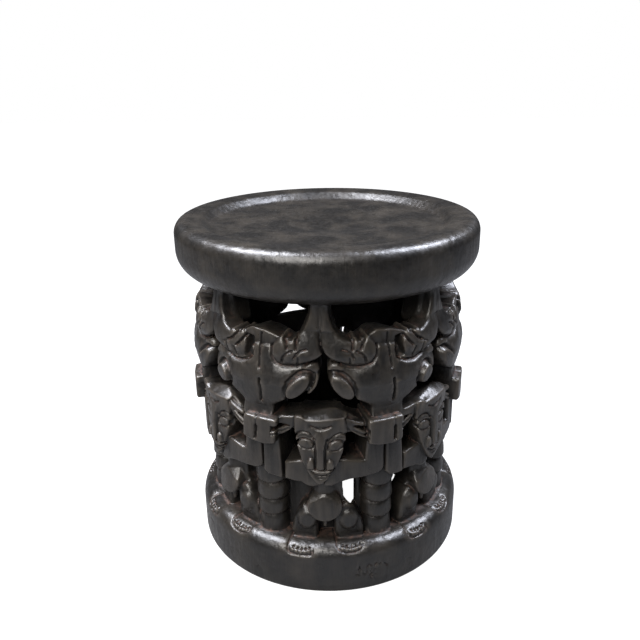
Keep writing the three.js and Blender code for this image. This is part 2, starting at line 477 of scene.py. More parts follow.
def shapeArms(unit):
    # arms held out, and bent up at square elbows
    arm = figureSizes["armFront"]
    low = [vary(unit, 1.2) for _ in range(4)]
    right = [
        (8, 168), (18, 172), (44, 168), (46, 195), (68.5, 195), (69, 156), (67.5, 150),
        (61, 146.5 + low[0]), (44, 145 + low[1]), (28, 144 + low[1]), (17, 140.5), (8, 136), (-3, 137),
    ]
    left = [
        (-8, 168), (-27, 168.5), (-46, 164), (-47, 141), (-35, 140 + low[2]), (-27, 139), (-20, 135),
        (-13, 133.5), (-3, 137),
    ]
    forearm = [
        (-49, 195), (-71, 195), (-71.5, 148), (-66, 142 + low[3]), (-55, 141 + low[3]), (-46, 141),
    ]
    add(unit, plank(right, inner, arm, 2.5, 0.03), 1.5)
    add(unit, plank(left, inner, arm - 1.5, 2.5, 0.03), 1.5)
    add(unit, plank(forearm, inner, arm + 0.5, 2.5, 0.03), 0.6)


def shapeSkull(unit):
    # a level top, and drooping ears slit like a cow's
    top = figureSizes["crownTop"]
    skull = [
        (-31, top + 1), (-18, top + 1), (8, top + 1), (24, top), (23, 190), (15, 165), (-18, 165),
        (-27, 190),
    ]
    add(unit, plank(skull, inner, figureSizes["skullFront"], 1.0), 1)
    add(unit, crownRidge(), 0.8)
    leftEar = [
        (-30, top + 2), (-40, top + 0.5), (-48, 221), (-55, 214), (-55, 197), (-53, 194), (-44, 198),
        (-37, 203), (-31, 209),
    ]
    rightEar = [
        (22, top + 1), (28, 219), (38, 215), (45, 214), (47, 208), (47, 192), (38, 196.5), (30, 202),
        (23, 209),
    ]
    for ear in (leftEar, rightEar):
        add(unit, plank(ear, inner + 6, figureSizes["earFront"], 2.2, 0.03), 1.0)


def shapeFace(unit):
    # the mask-like face stands forward from the skull
    mask = [
        (-31, 223), (-24, 224), (-18, 220.5), (-10, 221), (5, 222), (15, 222.5), (22, 222.5), (25, 211),
        (24.5, 200), (22, 190), (20, 180), (16, 170), (11, 160), (4, 149), (-2, 143), (-5, 141.5), (-9, 144),
        (-15, 152), (-20, 162), (-25, 174), (-28.5, 187), (-31, 200), (-32, 212),
    ]

    def faceFront(u, z):
        return figureSizes["faceFront"] - figureSizes["faceBow"] * (u + 4) ** 2

    add(unit, plank(mask, 140, faceFront, 1.4, 0.02), 0.4)


ridgeSizes = {
    "front": 157.5,  # how far out the ridge starts
    "start": 221.5,  # the height from which it runs back
    "run": 1.25,  # mm back for each one up
    "bow": 0.004,
    "back": 140.0,
    "half": 28.0,  # half the width that stands over the face
    "besideFront": 150.0,
    "behind": 146.0,  # further in than this it falls again
    "fall": 0.62,
}


def crownRidge():
    # slopes up from the brow, and falls again behind, so that only the slope is seen
    s = ridgeSizes
    outline = [
        (-49, 217), (-38, 221.5), (-27, 223.5), (-10, 227), (6, 229.5), (14, 229), (24, 225),
        (36, 217.5), (45, 211), (36, 200), (-40, 204),
    ]

    def slope(u, z):
        run = s["front"] - s["run"] * (z - s["start"]) - s["bow"] * u * u
        front = np.clip(run, s["back"], s["front"])
        overFace = (z > s["start"] - 1) & (np.abs(u + 3) < s["half"])
        return np.where(overFace, front, np.minimum(front, s["besideFront"])).astype(np.float32)

    bounds, whole = plank(outline, inner, slope, 0.8)

    def measure(u, r, z):
        return whole(u, r, z + s["fall"] * np.maximum(s["behind"] - r, 0))

    u0, u1, r0, r1, z0, z1 = bounds
    return (u0, u1, r0, r1, z0 - 20, z1), measure


def roundBelly(centre, radii):
    # a thick disc that leans back a little, with three facets cut across its top
    s = figureSizes
    cu, cr, cz = centre
    wide, deep, tall = radii
    bounds = (cu - wide, cu + wide, cr - deep, cr + deep, cz - tall, cz + tall)
    across, out, up = s["facet"]

    def measure(u, r, z):
        r = r + s["bellyLean"] * (z - cz)
        flat = (np.hypot((u - cu) / wide, (z - cz) / tall) - 1) * tall
        gap = thicken(flat, r, cr - deep, cr + deep, 3.0)
        for side in (-1, 0, 1):
            push = (u - cu) * (side * across) + (r - cr) * out + (z - cz) * up
            gap = softMax(gap, push - tall * s["facetAt"][abs(side)], 0.6)
        return gap

    return bounds, measure


postSizes = {
    "out": 130.0,  # distance from the middle of the log
    "radius": 17.6,
    "taper": 0.024,  # how much wider for each millimetre above the middle
    "middle": 110.0,
    "rings": (152.0, 126.5, 104.0, 83.5, 55.0),
    "dip": 0.05,  # the cuts sag towards the front
    "bow": 0.0025,  # and in the middle
    "swell": 1.6,  # each band is wider at its foot by this
    "cut": 3.2,  # and drawn in at its top
    "lip": 1.4,  # its foot itself is drawn in by this
}


def shapePost(unit):
    s = postSizes
    out, size = s["out"], s["radius"]
    grow = log["face"] / out
    for high, low in zip(s["rings"], s["rings"][1:]):
        bounds = (-size * grow, size * grow, out - size, out + size, low - 4, high + 4)

        def measure(u, r, z, high=high, low=low):
            level = z + s["dip"] * (r - out) - s["bow"] * u * u
            share = np.clip((level - low) / (high - low), 0, 1)
            swell = size + s["taper"] * (z - s["middle"]) + s["swell"] * (1 - share) - s["cut"] * share ** 6
            swell = swell - s["lip"] * np.clip(1 - share * 7, 0, 1)
            flat = np.hypot(u / grow, r - out) - swell
            return softMax(flat, np.maximum(low - level, level - high), 1.6)

        add(unit, (bounds, measure), 0.3)


def detailFigure(unit):
    s = figureSizes
    carveEyes(unit, s["faceSkin"])
    carveNose(unit, s["faceSkin"])
    carveMouth(unit, s["faceSkin"])
    # two lines between the brows
    engrave(unit, [
        ([(-14, 214), (-9, 211), (-3, 209.6), (3, 210.8), (8, 213.8)], 3.2, 3.0),
        ([(-10.5, 212.8), (-3, 212.4), (5.5, 212.8)], 2.0, 1.4),
    ], s["faceSkin"])
    # ear slits open outwards
    leftSlit = [(-55, 210.5), (-47, 210.8), (-37, 210.6), (-46, 206.5), (-55, 203.8)]
    rightSlit = [(47.5, 207.5), (40, 209.4), (31, 211), (38, 206), (47.5, 201.5)]
    press(unit, sink(leftSlit, 8.0, 1.4, s["slitEnd"]))
    engrave(unit, [([(-54.5, 200), (-46, 203), (-38, 206.5)], 2.6, 2.2)], s["earSkin"])
    press(unit, sink(rightSlit, 7.0, 1.4, s["slitEnd"]))
    engrave(unit, [([(47, 197.5), (40, 200.5), (31, 206)], 2.6, 2.2)], s["earSkin"])
    # a crease down the inside of the left elbow
    engrave(unit, [([(-47, 168), (-47, 152), (-46.5, 140)], 2.6, 2.4)], s["elbowSkin"])
    for side in (-1, 1):
        shapeFoot(unit, side)


def carveEyes(unit, skin):
    # flat eyes inside deep lines, with a lid and a brow drawn over each
    for eye, lean in (((-19.0, 191.5), -0.16), ((12.6, 189.6), 0.30)):
        engrave(unit, [
            (arc(eye, 18.5, 13.0, lean, -12, 192), 3.2, 3.6),
            (arc(eye, 18.0, 11.5, lean, 180, 360), 2.6, 2.6),
        ], skin)
    engrave(unit, [
        ([(-31, 198.5), (-27, 204.6), (-21, 206.6), (-14.5, 204.6), (-9.5, 198)], 3.0, 3.2),
        ([(26, 196), (23, 202.6), (17, 204.6), (10.5, 202.2), (4.0, 195)], 3.0, 3.2),
        ([(-28, 199.0), (-24, 202.0), (-19, 202.8), (-13, 199.8)], 2.0, 1.6),
        ([(22.5, 199.4), (17, 200.8), (11, 198.6), (5.5, 193.5)], 2.0, 1.6),
    ], skin)


def carveNose(unit, skin):
    # one narrow ridge that runs down from between the brows, coming in as it does
    nose = [
        (-15, 210), (9, 210), (2.6, 198), (0.2, 187), (0.0, 162.5), (-8.0, 162.5), (-7.8, 187), (-9.8, 198),
    ]
    press(unit, sink(nose, -3.4, 2.0, skin, (209, 189)))
    engrave(unit, [
        ([(-9.5, 199), (-8.8, 188), (-8.8, 175), (-9.0, 163)], 3.0, 3.0),
        ([(3.2, 198), (1.1, 188), (1.0, 175), (1.2, 163)], 3.0, 3.0),
    ], skin)
    leftNostril = [
        (-18, 162), (-18.2, 169), (-16.6, 174), (-13.6, 176), (-10.8, 173.5), (-9.8, 168), (-9.8, 162),
    ]
    rightNostril = [(1.6, 162), (1.8, 168), (3, 172.4), (5.8, 174.6), (9, 172.6), (10.6, 168), (10.6, 162)]
    for nostril in (leftNostril, rightNostril):
        press(unit, sink(nostril, -3.0, 2.0, skin))
        engrave(unit, [(nostril, 2.4, 2.0)], skin)


def carveMouth(unit, skin):
    # a deep line, the lower lip standing up under it, and two cuts below that
    engrave(unit, [([(-14.5, 162), (-9, 161), (-3, 160.6), (4, 161), (11, 162.2)], 3.2, 4.0)], skin)
    lip = [(-12, 159.5), (-3, 159.3), (9, 159.8), (4, 156), (-3, 154.8), (-9, 156)]
    press(unit, sink(lip, -1.2, 1.8, skin))
    engrave(unit, [
        ([(-13.5, 158.5), (-8, 154.6), (-3, 153.2), (3, 154.4), (10, 159)], 2.8, 3.0),
        ([(-10, 153.2), (-6, 150.4), (-3, 149.8), (1, 150.4), (5.5, 153.2)], 2.4, 1.8),
    ], skin)


# Feet are outlined in the rounded edge of the base, and only the toes stand up. On that
# slope w is the height that the eye gives a point from the front.

footSizes = {
    "left": [(-42.5, 78), (-43, 56), (-41.5, 48), (-38, 46), (-28, 45), (-15, 46), (-13.5, 52), (-13, 78)],
    "right": [(12.5, 78), (12.5, 60), (15.5, 53), (22, 49.5), (32, 49), (40, 52), (44.5, 60), (45, 78)],
    "slope": 0.80,
    "between": (128.0, 170.0, 42.0, 74.0),  # r and z of the rounded edge
    "skin": 100.0,
    "sunk": 0.9,
    "toes": 5,
    "bow": 2.2,  # how much further back the outer toes end
    # up from the end of the foot, share of a toe's width, length, height and softness
    "toe": (4.6, 0.86, 6.0, 1.7, 1.6),
    "pit": (8.8, 0.42, 3.4, -2.8, 1.4),
}


def onSlope(shape):
    # the same press, but laid along the rounded edge
    (u0, u1, *_), measure = shape

    def slanted(u, r, z):
        return measure(u, r, z - footSizes["slope"] * (r - log["face"]))

    return (u0, u1) + footSizes["between"], slanted


def shapeFoot(unit, side):
    s = footSizes
    skin = s["skin"]
    outline = s["left"] if side < 0 else s["right"]
    press(unit, onSlope(sink(outline, s["sunk"], 1.8, skin)))
    press(unit, onSlope(groove(outline[:-1], 2.4, 2.6, skin)))
    us, ws = zip(*outline)
    first, last = min(us) + 4, max(us) - 3
    width = (last - first) / s["toes"]
    for i in range(s["toes"]):
        at = first + width * (i + 0.5) + vary(unit, 0.4)
        bow = s["bow"] * abs((i - 2) / 2) ** 2
        # each toe has a small pit behind it
        for name, aside in (("toe", 0.0), ("pit", 0.8)):
            up, share, long, high, edge = s[name]
            centre = (at + aside, min(ws) + up + bow)
            press(unit, onSlope(oval(centre, width * share, long, 0, high, edge, skin)))


baseMarks = [
    # how many, then the limits of their place, height, run, rise, width and depth
    (26, (36, 74), (16, 34), (-4, 4), (1, 5), (1.6, 3.0), (0.8, 2.2)),
    (40, (-230, 230), (6, 46), (-7, 7), (-4, 4), (1.4, 2.4), (0.3, 1.1)),
]


def markBase(unit):
    # gouges in the side of the base, where the stool has been knocked about
    draw = np.random.default_rng(7)
    for count, *limits in baseMarks:
        for _ in range(count):
            u, z, run, rise, width, depth = [draw.uniform(*pair) for pair in limits]
            press(unit, groove([(u, z), (u + run, z + rise)], width, depth, 150.0))


# Horned heads, which stand on the forearms between the figures

headSizes = {
    "rows": (220, 228, 236, 246, 258, 266, 275, 290, 305, 318),
    "fronts": (156.0, 154.5, 157.5, 160.0, 162.0, 161.0, 159.0, 156.5, 154.5, 152.5),
    "bow": 0.0014,
    "top": 153,  # front of the block above the forehead
    "topFall": 0.16,
    "muzzle": (187.0, 219.0),
    "muzzleFront": 164.5,
    # cuts go no further in than these
    "skin": 140.0,
    "recessEnd": 138.0,
}
hornSizes = {
    "rows": (280, 292, 305, 318, 345),
    "fronts": (157.5, 160.0, 158.0, 153.5, 150.5),
    "back": 132,
    "bow": 0.0016,
    "bowMiddle": 36,
    "bowTop": 318,
    "stemFront": 140,
    "skin": 151.0,
}
eyeSizes = {
    # out from the middle of the head, height, length and width: the eye on the side that
    # turns to the front of the stool, and the other
    "near": (50.5, 258.0, 33.5, 16.5),
    "far": (47.5, 255.5, 22.0, 17.0),
    "lean": 0.92,
    "lid": 8.5,
}


def headFront(u, z):
    front = np.interp(z, headSizes["rows"], headSizes["fronts"]).astype(np.float32)
    return front - headSizes["bow"] * u * u


def shapeHead(unit, muzzleShift, pull):
    cheeks = [
        (19.5, 212), (19.5, 231), (25, 235), (34, 240.5), (50, 245), (60, 250), (65, 258), (67, 268),
        (65, 277), (61, 283), (44, 288), (36, 300), (-36, 300), (-44, 288), (-61, 283), (-65, 277),
        (-67, 268), (-65, 258), (-60, 250), (-50, 245), (-34, 240.5), (-25, 235), (-20, 231), (-20, 212),
    ]
    add(unit, plank(cheeks, inner, headFront, 2.2, 0.02), 1.5)
    add(unit, topBlock(), 1.5)
    for side in (-1, 1):
        shapeHorn(unit, side, pull if side > 0 else 0.0)
    low, high = headSizes["muzzle"]
    muzzle = [
        (-20, low + 4), (-8, low + 0.5), (8, low - 0.5), (19, low + 2.5), (20, high - 4), (19, high),
        (-19, high), (-20.5, high - 4),
    ]
    muzzle = [(u + muzzleShift, z) for u, z in muzzle]
    add(unit, plank(muzzle, inner + 4, headSizes["muzzleFront"], 2.6, 0.01), 0.6)


def topBlock():
    # the forehead's top falls to both sides and to the back
    outline = [
        (-46, 282), (46, 282), (48, 302), (30, 306), (16, 311), (4, 314.5), (-13, 316), (-26, 309),
        (-44, 304),
    ]
    front = headSizes["top"]
    bounds, whole = plank(outline, inner, front, 2.0)

    def measure(u, r, z):
        return whole(u, r, z + (front - r) * headSizes["topFall"])

    return bounds, measure


def shapeHorn(unit, side, pull):
    # outline of the horn from its ringed root, out round the bend and up to the seat; pull
    # draws its upper part towards the middle of the head
    s = hornSizes
    outer = [
        (-74 + pull, 352), (-73.5 + pull * 0.8, 311), (-72 + pull * 0.5, 301), (-68.5, 294), (-62, 288),
        (-53, 284), (-41, 280.5), (-28, 280), (-20, 281.5),
    ]
    root = [(-14, 289), (-12.5, 298), (-15, 304), (-21, 311), (-24, 313)]
    crest = [
        (-27, 308.5), (-33.5, 309), (-37, 311), (-40, 308), (-46 + pull * 0.6, 310.5), (-52 + pull, 313.5),
        (-57 + pull, 320), (-60.5 + pull, 329), (-62 + pull, 337), (-62 + pull, 352),
    ]
    outline = mirror(outer + root + crest, -side)

    def hornFront(u, z):
        front = np.interp(z, s["rows"], s["fronts"]).astype(np.float32)
        return front - s["bow"] * (np.abs(u) - s["bowMiddle"]) ** 2 * (z < s["bowTop"])

    add(unit, plank(outline, s["back"], hornFront, 3.2, 0.05), 0.8)
    stem = [(67 - pull, 352, 7), (66 - pull, 330, 7), (60 - pull, 310, 8)]
    add(unit, strap(mirror(stem, side), inner, s["stemFront"], 4), 3)


def detailHead(unit, towards, eyeOut):
    # towards is the side that turns to the front of the stool
    skin = headSizes["skin"]
    for side in (-1, 1):
        near = side == towards
        cutHorn = cutNearHorn if near else cutFarHorn
        cutHorn(unit, side)
        out, height, long, short = eyeSizes["near" if near else "far"]
        if near and eyeOut:
            out = eyeOut
        carveHeadEye(unit, side, (side * (out + vary(unit, 1.0)), height), long, short)
        # the cheek swells below the horn
        cheek = [(16, 276), (36, 274), (47, 266), (38, 256), (16, 258)]
        press(unit, sink(mirror(cheek, side), -1.6, 8.0, skin))
    # a line down the middle of the forehead, the face and the muzzle
    engrave(unit, [
        ([(-0.5, 311), (0, 296), (2, 274)], 2.8, 4.0),
        ([(3.5, 262), (5, 248), (5, 235)], 4.0, 6.0),
        ([(3.6, 218), (3.8, 206)], 2.4, 2.0),
        ([(3.8, 207), (4.0, 199), (3.6, 192)], 4.6, 6.5),
    ], skin)


def cutNearHorn(unit, side):
    # the horn's curled root stands free of the brow
    under = [(13.5, 300), (14.5, 289), (19, 282), (28, 279), (41, 279), (53, 283)]
    engrave(unit, [(under, 4.6, 3.6)], headSizes["skin"], side)
    cuts = [
        ([(27, 311), (28.5, 306), (31, 299)], 4.0, 5.0),
        ([(38.5, 311), (39, 306), (40, 299)], 4.0, 5.0),
        ([(51, 300), (45, 298), (41, 294.5), (38.5, 289.5)], 3.2, 3.6),
        ([(36, 297.5), (31, 294.5), (27.5, 290.5), (26, 284)], 3.2, 3.6),
        ([(43, 291), (42.5, 283)], 2.8, 2.6),
    ]
    engrave(unit, cuts, hornSizes["skin"], side)


def cutFarHorn(unit, side):
    # a deep recess between the brow and the knob, and slanting cuts across the horn
    recess = [(8, 283), (7.5, 292), (10, 305), (17, 306), (15.5, 296), (17.5, 284), (13, 280)]
    press(unit, sink(mirror(recess, side), 8.0, 2.4, headSizes["recessEnd"]))
    under = [(13, 281), (20, 278), (30, 276.5), (44, 279)]
    engrave(unit, [(under, 4.6, 4.0)], headSizes["skin"], side)
    cuts = [
        ([(19, 305), (23, 299), (28.5, 293)], 4.0, 5.5),
        ([(30, 306), (34.5, 300), (41, 296)], 4.0, 5.5),
        ([(41, 296), (47, 293)], 3.0, 2.4),
        ([(32, 291), (30, 286), (28.5, 280)], 3.2, 4.0),
        ([(42.5, 292), (41, 280)], 3.4, 4.2),
    ]
    engrave(unit, cuts, hornSizes["skin"], side)


def carveHeadEye(unit, side, eye, long, short):
    # the eye leans out over the cheek, inside a lid with a deep line round its outer half
    skin, lid = headSizes["skin"], eyeSizes["lid"]
    lean = side * eyeSizes["lean"]
    socket = [(66, 284), (54, 284), (49, 279), (52, 275), (60, 274), (67, 276)]
    press(unit, sink(mirror(socket, side), -2.4, 4.0, skin))
    press(unit, oval(eye, long + lid, short + lid, lean, -3.4, 3.0, skin))
    press(unit, oval(eye, long, short, lean, 7.4, 2.2, skin))
    start, end = (-70, 100) if side > 0 else (80, 250)
    engrave(unit, [(arc(eye, long + lid, short + lid + 1, lean, start, end), 3.2, 3.0)], skin)


# Where the pieces stand round the log. Lists start at the front and go round to the right;
# numbers before a colon say which piece differs from the others.

layout = {
    # which sides of each figure are cut right through beside the belly
    "gapLeft": (False, True, False, False, False, False, True),
    "gapRight": (True, False, True, False, False, True, False),
    "wallTop": {3: 258.0, 4: 241.0},  # a wall inside, behind the crown, up to this height
    "postShift": (0.0, 0.0, 1.5, -9.0, 0.0, -1.5, -4.0),
    "postWall": {0: 35},  # how far the wall behind a post reaches to its right
    "headShift": {0: 0.5, 6: -2.5},
    "headLean": {0: -0.02, 6: 0.10},
    "muzzleShift": (-5.6, 1.0, -2.0, 2.0, 0.0, -1.5, 7.8),
    "hornPull": (0.0, 2.0, 0.0, 3.0, 1.0, 0.0, 13.0),  # how far the right horn stands in
    "eyeOut": {6: 44.5},
    "rightHeads": 4,  # so many heads stand right of the front, and turn their left side to it
}
frontGap = {
    # the gap at the right of the front figure, as the eye sees it on the log's face
    "outline": [
        (19.5, 146), (26, 143), (30, 138), (31.5, 130), (31, 122), (28.5, 115.5), (24, 121), (20, 127.5),
    ],
    "front": 147,
    "slope": 0.735,  # how steeply the eye looks down into it
}


def placePieces():
    # all but the front figure stand a little uneven
    sector = 2 * math.pi / log["figures"]
    tilt = np.random.default_rng(11)
    figures, heads, posts = [], [], []
    for i in range(log["figures"]):
        loose = 0.0 if i == 0 else 1.0
        figures.append(makeUnit(
            i, sector * i, loose * tilt.uniform(-1.5, 1.5), loose * tilt.uniform(-0.03, 0.03),
            loose * tilt.uniform(-0.02, 0.02), 180.0,
        ))
        between = sector * (i + 0.5)
        lean = layout["headLean"].get(i, tilt.uniform(-0.06, 0.06))
        shift = layout["headShift"].get(i, tilt.uniform(-1.5, 1.5))
        heads.append(makeUnit(20 + i, between, shift, lean, tilt.uniform(-0.012, 0.012), 240.0))
        posts.append(makeUnit(40 + i, between, layout["postShift"][i]))
    return figures, heads, posts


def addFigure(i, unit):
    shapeFigure(unit)
    if not layout["gapLeft"][i]:
        addWall(unit, -50, -8, 55, 148, log["wall"])
    if not layout["gapRight"][i]:
        addWall(unit, 50, 8, 55, 148, log["wall"])
    if i == 0:
        cut(unit, peephole(frontGap["outline"], inner - 6, frontGap["front"], frontGap["slope"]))
    if i in layout["wallTop"]:
        addWall(unit, -56, 56, 215, layout["wallTop"][i], 128)


figures, heads, posts = placePieces()
shapeBase()
for i, unit in enumerate(figures):
    addFigure(i, unit)
for i, unit in enumerate(posts):
    shapePost(unit)
    addWall(unit, -28, layout["postWall"].get(i, 28), 55, 150, log["wall"])
for i, unit in enumerate(heads):
    shapeHead(unit, layout["muzzleShift"][i], layout["hornPull"][i])
print("masses shaped")
for i, unit in enumerate(heads):
    towards = -1 if i < layout["rightHeads"] else 1
    detailHead(unit, towards, layout["eyeOut"].get(i))
for unit in figures:
    detailFigure(unit)
markBase(figures[0])
shapeSeat()
print("details cut")


def putInScene(name, data):
    thing = bpy.data.objects.new(name, data)
    bpy.context.scene.collection.objects.link(thing)
    return thing


def meshFromClay(name):
    # draws the surface through the zeros
    bound = 3 * block["step"]
    grid = openvdb.FloatGrid(bound)
    grid.copyFromArray(np.clip(clay, -bound, bound))
    points, triangles, quads = grid.convertToPolygons(isovalue=0.0, adaptivity=0.0)
    place = points * block["step"] + np.array([-block["reach"], -block["reach"], block["low"]])
    mesh = bpy.data.meshes.new(name)
    mesh.vertices.add(len(place))
    mesh.vertices.foreach_set("co", (place / 1000).astype(np.float32).ravel())
    corners = np.concatenate([quads.ravel(), triangles.ravel()]).astype(np.int32)
    starts = np.concatenate([np.arange(len(quads)) * 4, len(quads) * 4 + np.arange(len(triangles)) * 3])
    mesh.loops.add(len(corners))
    mesh.loops.foreach_set("vertex_index", corners)
    mesh.polygons.add(len(starts))
    mesh.polygons.foreach_set("loop_start", starts.astype(np.int32))
    mesh.update(calc_edges=True)
    mesh.validate()
    return mesh


stoolMesh = meshFromClay("stool_carving")
stool = putInScene("stool_carving", stoolMesh)
print("surface drawn:", len(stoolMesh.polygons), "faces")


def thinMesh(piece, triangles):
    count = sum(len(face.vertices) - 2 for face in piece.data.polygons)
    if count > triangles:
        thin = piece.modifiers.new("thin", "DECIMATE")
        thin.ratio = triangles / count
        bpy.context.view_layer.objects.active = piece
        piece.select_set(True)
        bpy.ops.object.modifier_apply(modifier=thin.name)


thinMesh(stool, block["triangles"])
stool.data.shade_smooth()
print("surface thinned:", len(stool.data.polygons), "faces")


def toLinear(hexColour):
    parts = [int(hexColour[i:i + 2], 16) / 255 for i in (1, 3, 5)]
    return tuple(c / 12.92 if c <= 0.04045 else ((c + 0.055) / 1.055) ** 2.4 for c in parts) + (1.0,)


def addNode(tree, kind, settings=None, inputs=None):
    # settings are the node's own properties; inputs are values, or sockets to link from
    node = tree.nodes.new(kind)
    for key, value in (settings or {}).items():
        setattr(node, key, value)
    for key, value in (inputs or {}).items():
        if isinstance(value, bpy.types.NodeSocket):
            tree.links.new(value, node.inputs[key])
        else:
            node.inputs[key].default_value = value
    return node


# Old hardwood, stained, carved with adze and knife and rubbed with wax: near black in the cuts,
# where the darkness is painted shade, paler and shinier on the edges that hands and cloth have
# polished, the paleness partly wear and partly a painted highlight, with reddish dust in the
# corners and a fine grain along the log.
woodSizes = {
    "stain": "#0e0d0c",
    "stainPale": "#25221e",
    # painted shade: the near black that is laid into cuts and corners
    "deep": "#040303",
    # paler edges: partly wear, partly a painted highlight
    "wearAndHighlight": "#403b35",
    "dust": "#523b30",
    # spacings in millimetres
    "grainSpacing": 1.3,  # coarser than real grain, so that it shows
    "grainLength": 22.0,
    "grainPaleness": 0.30,
    "blotch": 38.0,
    "fleck": 5.0,
    "toolMarks": 11.0,
    "scratchSpacing": 2.2,
    "scratchLength": 60.0,
    "scratchPaleness": 0.24,
    "roughness": (0.26, 0.46),  # wax that has been rubbed, and wax that has gone dull
    "cutRoughness": 0.40,  # what a deep cut adds
    # strength, and depth in metres
    "grainRelief": (0.35, 0.0005),
    "scratchRelief": (0.30, -0.0003),
    "toolRelief": (0.60, 0.0016),
}


def darkWaxedWood():
    s = woodSizes
    material = bpy.data.materials.new("dark_waxed_wood")
    material.use_nodes = True
    tree = material.node_tree
    tree.nodes.clear()
    where = addNode(tree, "ShaderNodeTexCoord").outputs["Object"]
    # millimetres between lumps across and up the log, then how rough the noise is
    noises = {
        "blotch": (s["blotch"], s["blotch"], 5.0, 0.62),
        "grain": (s["grainSpacing"], s["grainLength"], 3.0, 0.6),
        "fleck": (s["fleck"], s["fleck"], 6.0, 0.7),
        "marks": (s["toolMarks"], s["toolMarks"] * 1.6, 2.0, 0.5),
        "scratch": (s["scratchSpacing"], s["scratchLength"], 1.0, 0.5),
        "smear": (s["blotch"] * 1.7, s["blotch"], 4.0, 0.55),
    }
    noise = {}
    for name, (across, up, detail, rough) in noises.items():
        scaled = addNode(tree, "ShaderNodeMapping", {"vector_type": "POINT"}, {
            "Vector": where, "Scale": (1000 / across, 1000 / across, 1000 / up),
        })
        noise[name] = addNode(tree, "ShaderNodeTexNoise", {"noise_dimensions": "3D"}, {
            "Vector": scaled.outputs["Vector"], "Scale": 1.0, "Detail": detail, "Roughness": rough,
        }).outputs["Fac"]
    # what is stored on the mesh: recess for the painted shade and the dust in cuts, edge for the
    # paler edges, partly wear and partly painted highlight, upward for where dust settles
    recess, edge, upward = [
        addNode(tree, "ShaderNodeAttribute", {"attribute_name": name}).outputs["Fac"]
        for name in ("recess", "edge", "upward")
    ]
    # noise values as shares from 0 to 1
    shares = {}
    for name, source, start, end in (
        ("pale", "blotch", 0.42, 0.70), ("streak", "grain", 0.45, 0.75), ("fleck", "fleck", 0.40, 0.66),
        ("scratch", "scratch", 0.66, 0.72), ("smear", "smear", 0.50, 0.66),
    ):
        shares[name] = addNode(tree, "ShaderNodeMapRange", inputs={
            "Value": noise[source], "From Min": start, "From Max": end,
        }).outputs["Result"]
    shade = addNode(tree, "ShaderNodeMath", {"operation": "MULTIPLY_ADD"}, {
        0: shares["streak"], 1: s["grainPaleness"], 2: shares["pale"],
    })
    base = addNode(tree, "ShaderNodeMix", {"data_type": "RGBA"}, {
        "Factor": shade.outputs["Value"], 6: toLinear(s["stain"]), 7: toLinear(s["stainPale"]),
    })
    scratchShare = addNode(tree, "ShaderNodeMath", {"operation": "MULTIPLY"}, {
        0: shares["scratch"], 1: shares["smear"],
    })
    # the edges are painted paler, partly as wear and partly as a painted highlight, with pale scratches
    # where the smear falls
    wearAndHighlightShare = addNode(tree, "ShaderNodeMath", {"operation": "MULTIPLY_ADD"}, {
        0: scratchShare.outputs["Value"], 1: s["scratchPaleness"], 2: edge,
    })
    wearAndHighlight = addNode(tree, "ShaderNodeMix", {"data_type": "RGBA"}, {
        "Factor": wearAndHighlightShare.outputs["Value"], 6: base.outputs[2], 7: toLinear(s["wearAndHighlight"]),
    })
    # painted shade: cuts and corners are darkened towards near black
    paintedShade = addNode(tree, "ShaderNodeMix", {"data_type": "RGBA"}, {
        "Factor": recess, 6: wearAndHighlight.outputs[2], 7: toLinear(s["deep"]),
    })
    settled = addNode(tree, "ShaderNodeMath", {"operation": "MULTIPLY"}, {0: recess, 1: upward})
    dustShare = addNode(tree, "ShaderNodeMath", {"operation": "MULTIPLY"}, {
        0: settled.outputs["Value"], 1: shares["fleck"],
    })
    dusty = addNode(tree, "ShaderNodeMix", {"data_type": "RGBA"}, {
        "Factor": dustShare.outputs["Value"], 6: paintedShade.outputs[2], 7: toLinear(s["dust"]),
    })
    low, high = s["roughness"]
    waxed = addNode(tree, "ShaderNodeMapRange", inputs={
        "Value": noise["fleck"], "From Min": 0.3, "From Max": 0.7, "To Min": low, "To Max": high,
    })
    rough = addNode(tree, "ShaderNodeMath", {"operation": "MULTIPLY_ADD"}, {
        0: recess, 1: s["cutRoughness"], 2: waxed.outputs["Result"],
    })
    # grain, scratches and tool marks, each laid over the one before
    reliefs = (
        ("grainRelief", noise["grain"]), ("scratchRelief", scratchShare.outputs["Value"]),
        ("toolRelief", noise["marks"]),
    )
    bump = None
    for name, height in reliefs:
        strength, depth = s[name]
        inputs = {"Height": height, "Strength": strength, "Distance": depth}
        if bump is not None:
            inputs["Normal"] = bump.outputs["Normal"]
        bump = addNode(tree, "ShaderNodeBump", inputs=inputs)
    shader = addNode(tree, "ShaderNodeBsdfPrincipled", inputs={
        "Base Color": dusty.outputs[2],
        "Roughness": rough.outputs["Value"],
        "IOR": 1.5,
        "Normal": bump.outputs["Normal"],
    })
    addNode(tree, "ShaderNodeOutputMaterial", inputs={"Surface": shader.outputs["BSDF"]})
    return material


wearAndShadeSizes = {
    # a cube of cells is counted twice, half widths in cells: small for edges and cuts, wide
    # for corners between whole pieces
    "near": (1, 1),
    "wide": (4, 3),
    # the share of wood at which the paler edges, partly wear and partly painted highlight, and the
    # painted shade and dust in cuts begin, and over how much they come in
    "edge": (0.46, 0.16),
    "wideEdge": (0.40, 0.6, 0.12),  # and the most that it gives
    "cut": (0.53, 0.16),
    "corner": (0.56, 0.22),
    "upward": (0.1, 0.6),  # of the upward part of the normal
}


def boxBlur(field, half):
    # the mean over a cube of cells, half of them to each side of the middle one
    width = 2 * half + 1
    for axis in range(3):
        shape = list(field.shape)
        shape[axis] = half + 1
        edge = np.zeros(shape, dtype=np.float32)
        total = np.cumsum(np.concatenate([edge, field, edge], axis=axis), axis=axis, dtype=np.float32)
        ahead = [slice(None)] * 3
        behind = [slice(None)] * 3
        ahead[axis] = slice(width, width + field.shape[axis])
        behind[axis] = slice(0, field.shape[axis])
        field = (total[tuple(ahead)] - total[tuple(behind)]) / width
    return field


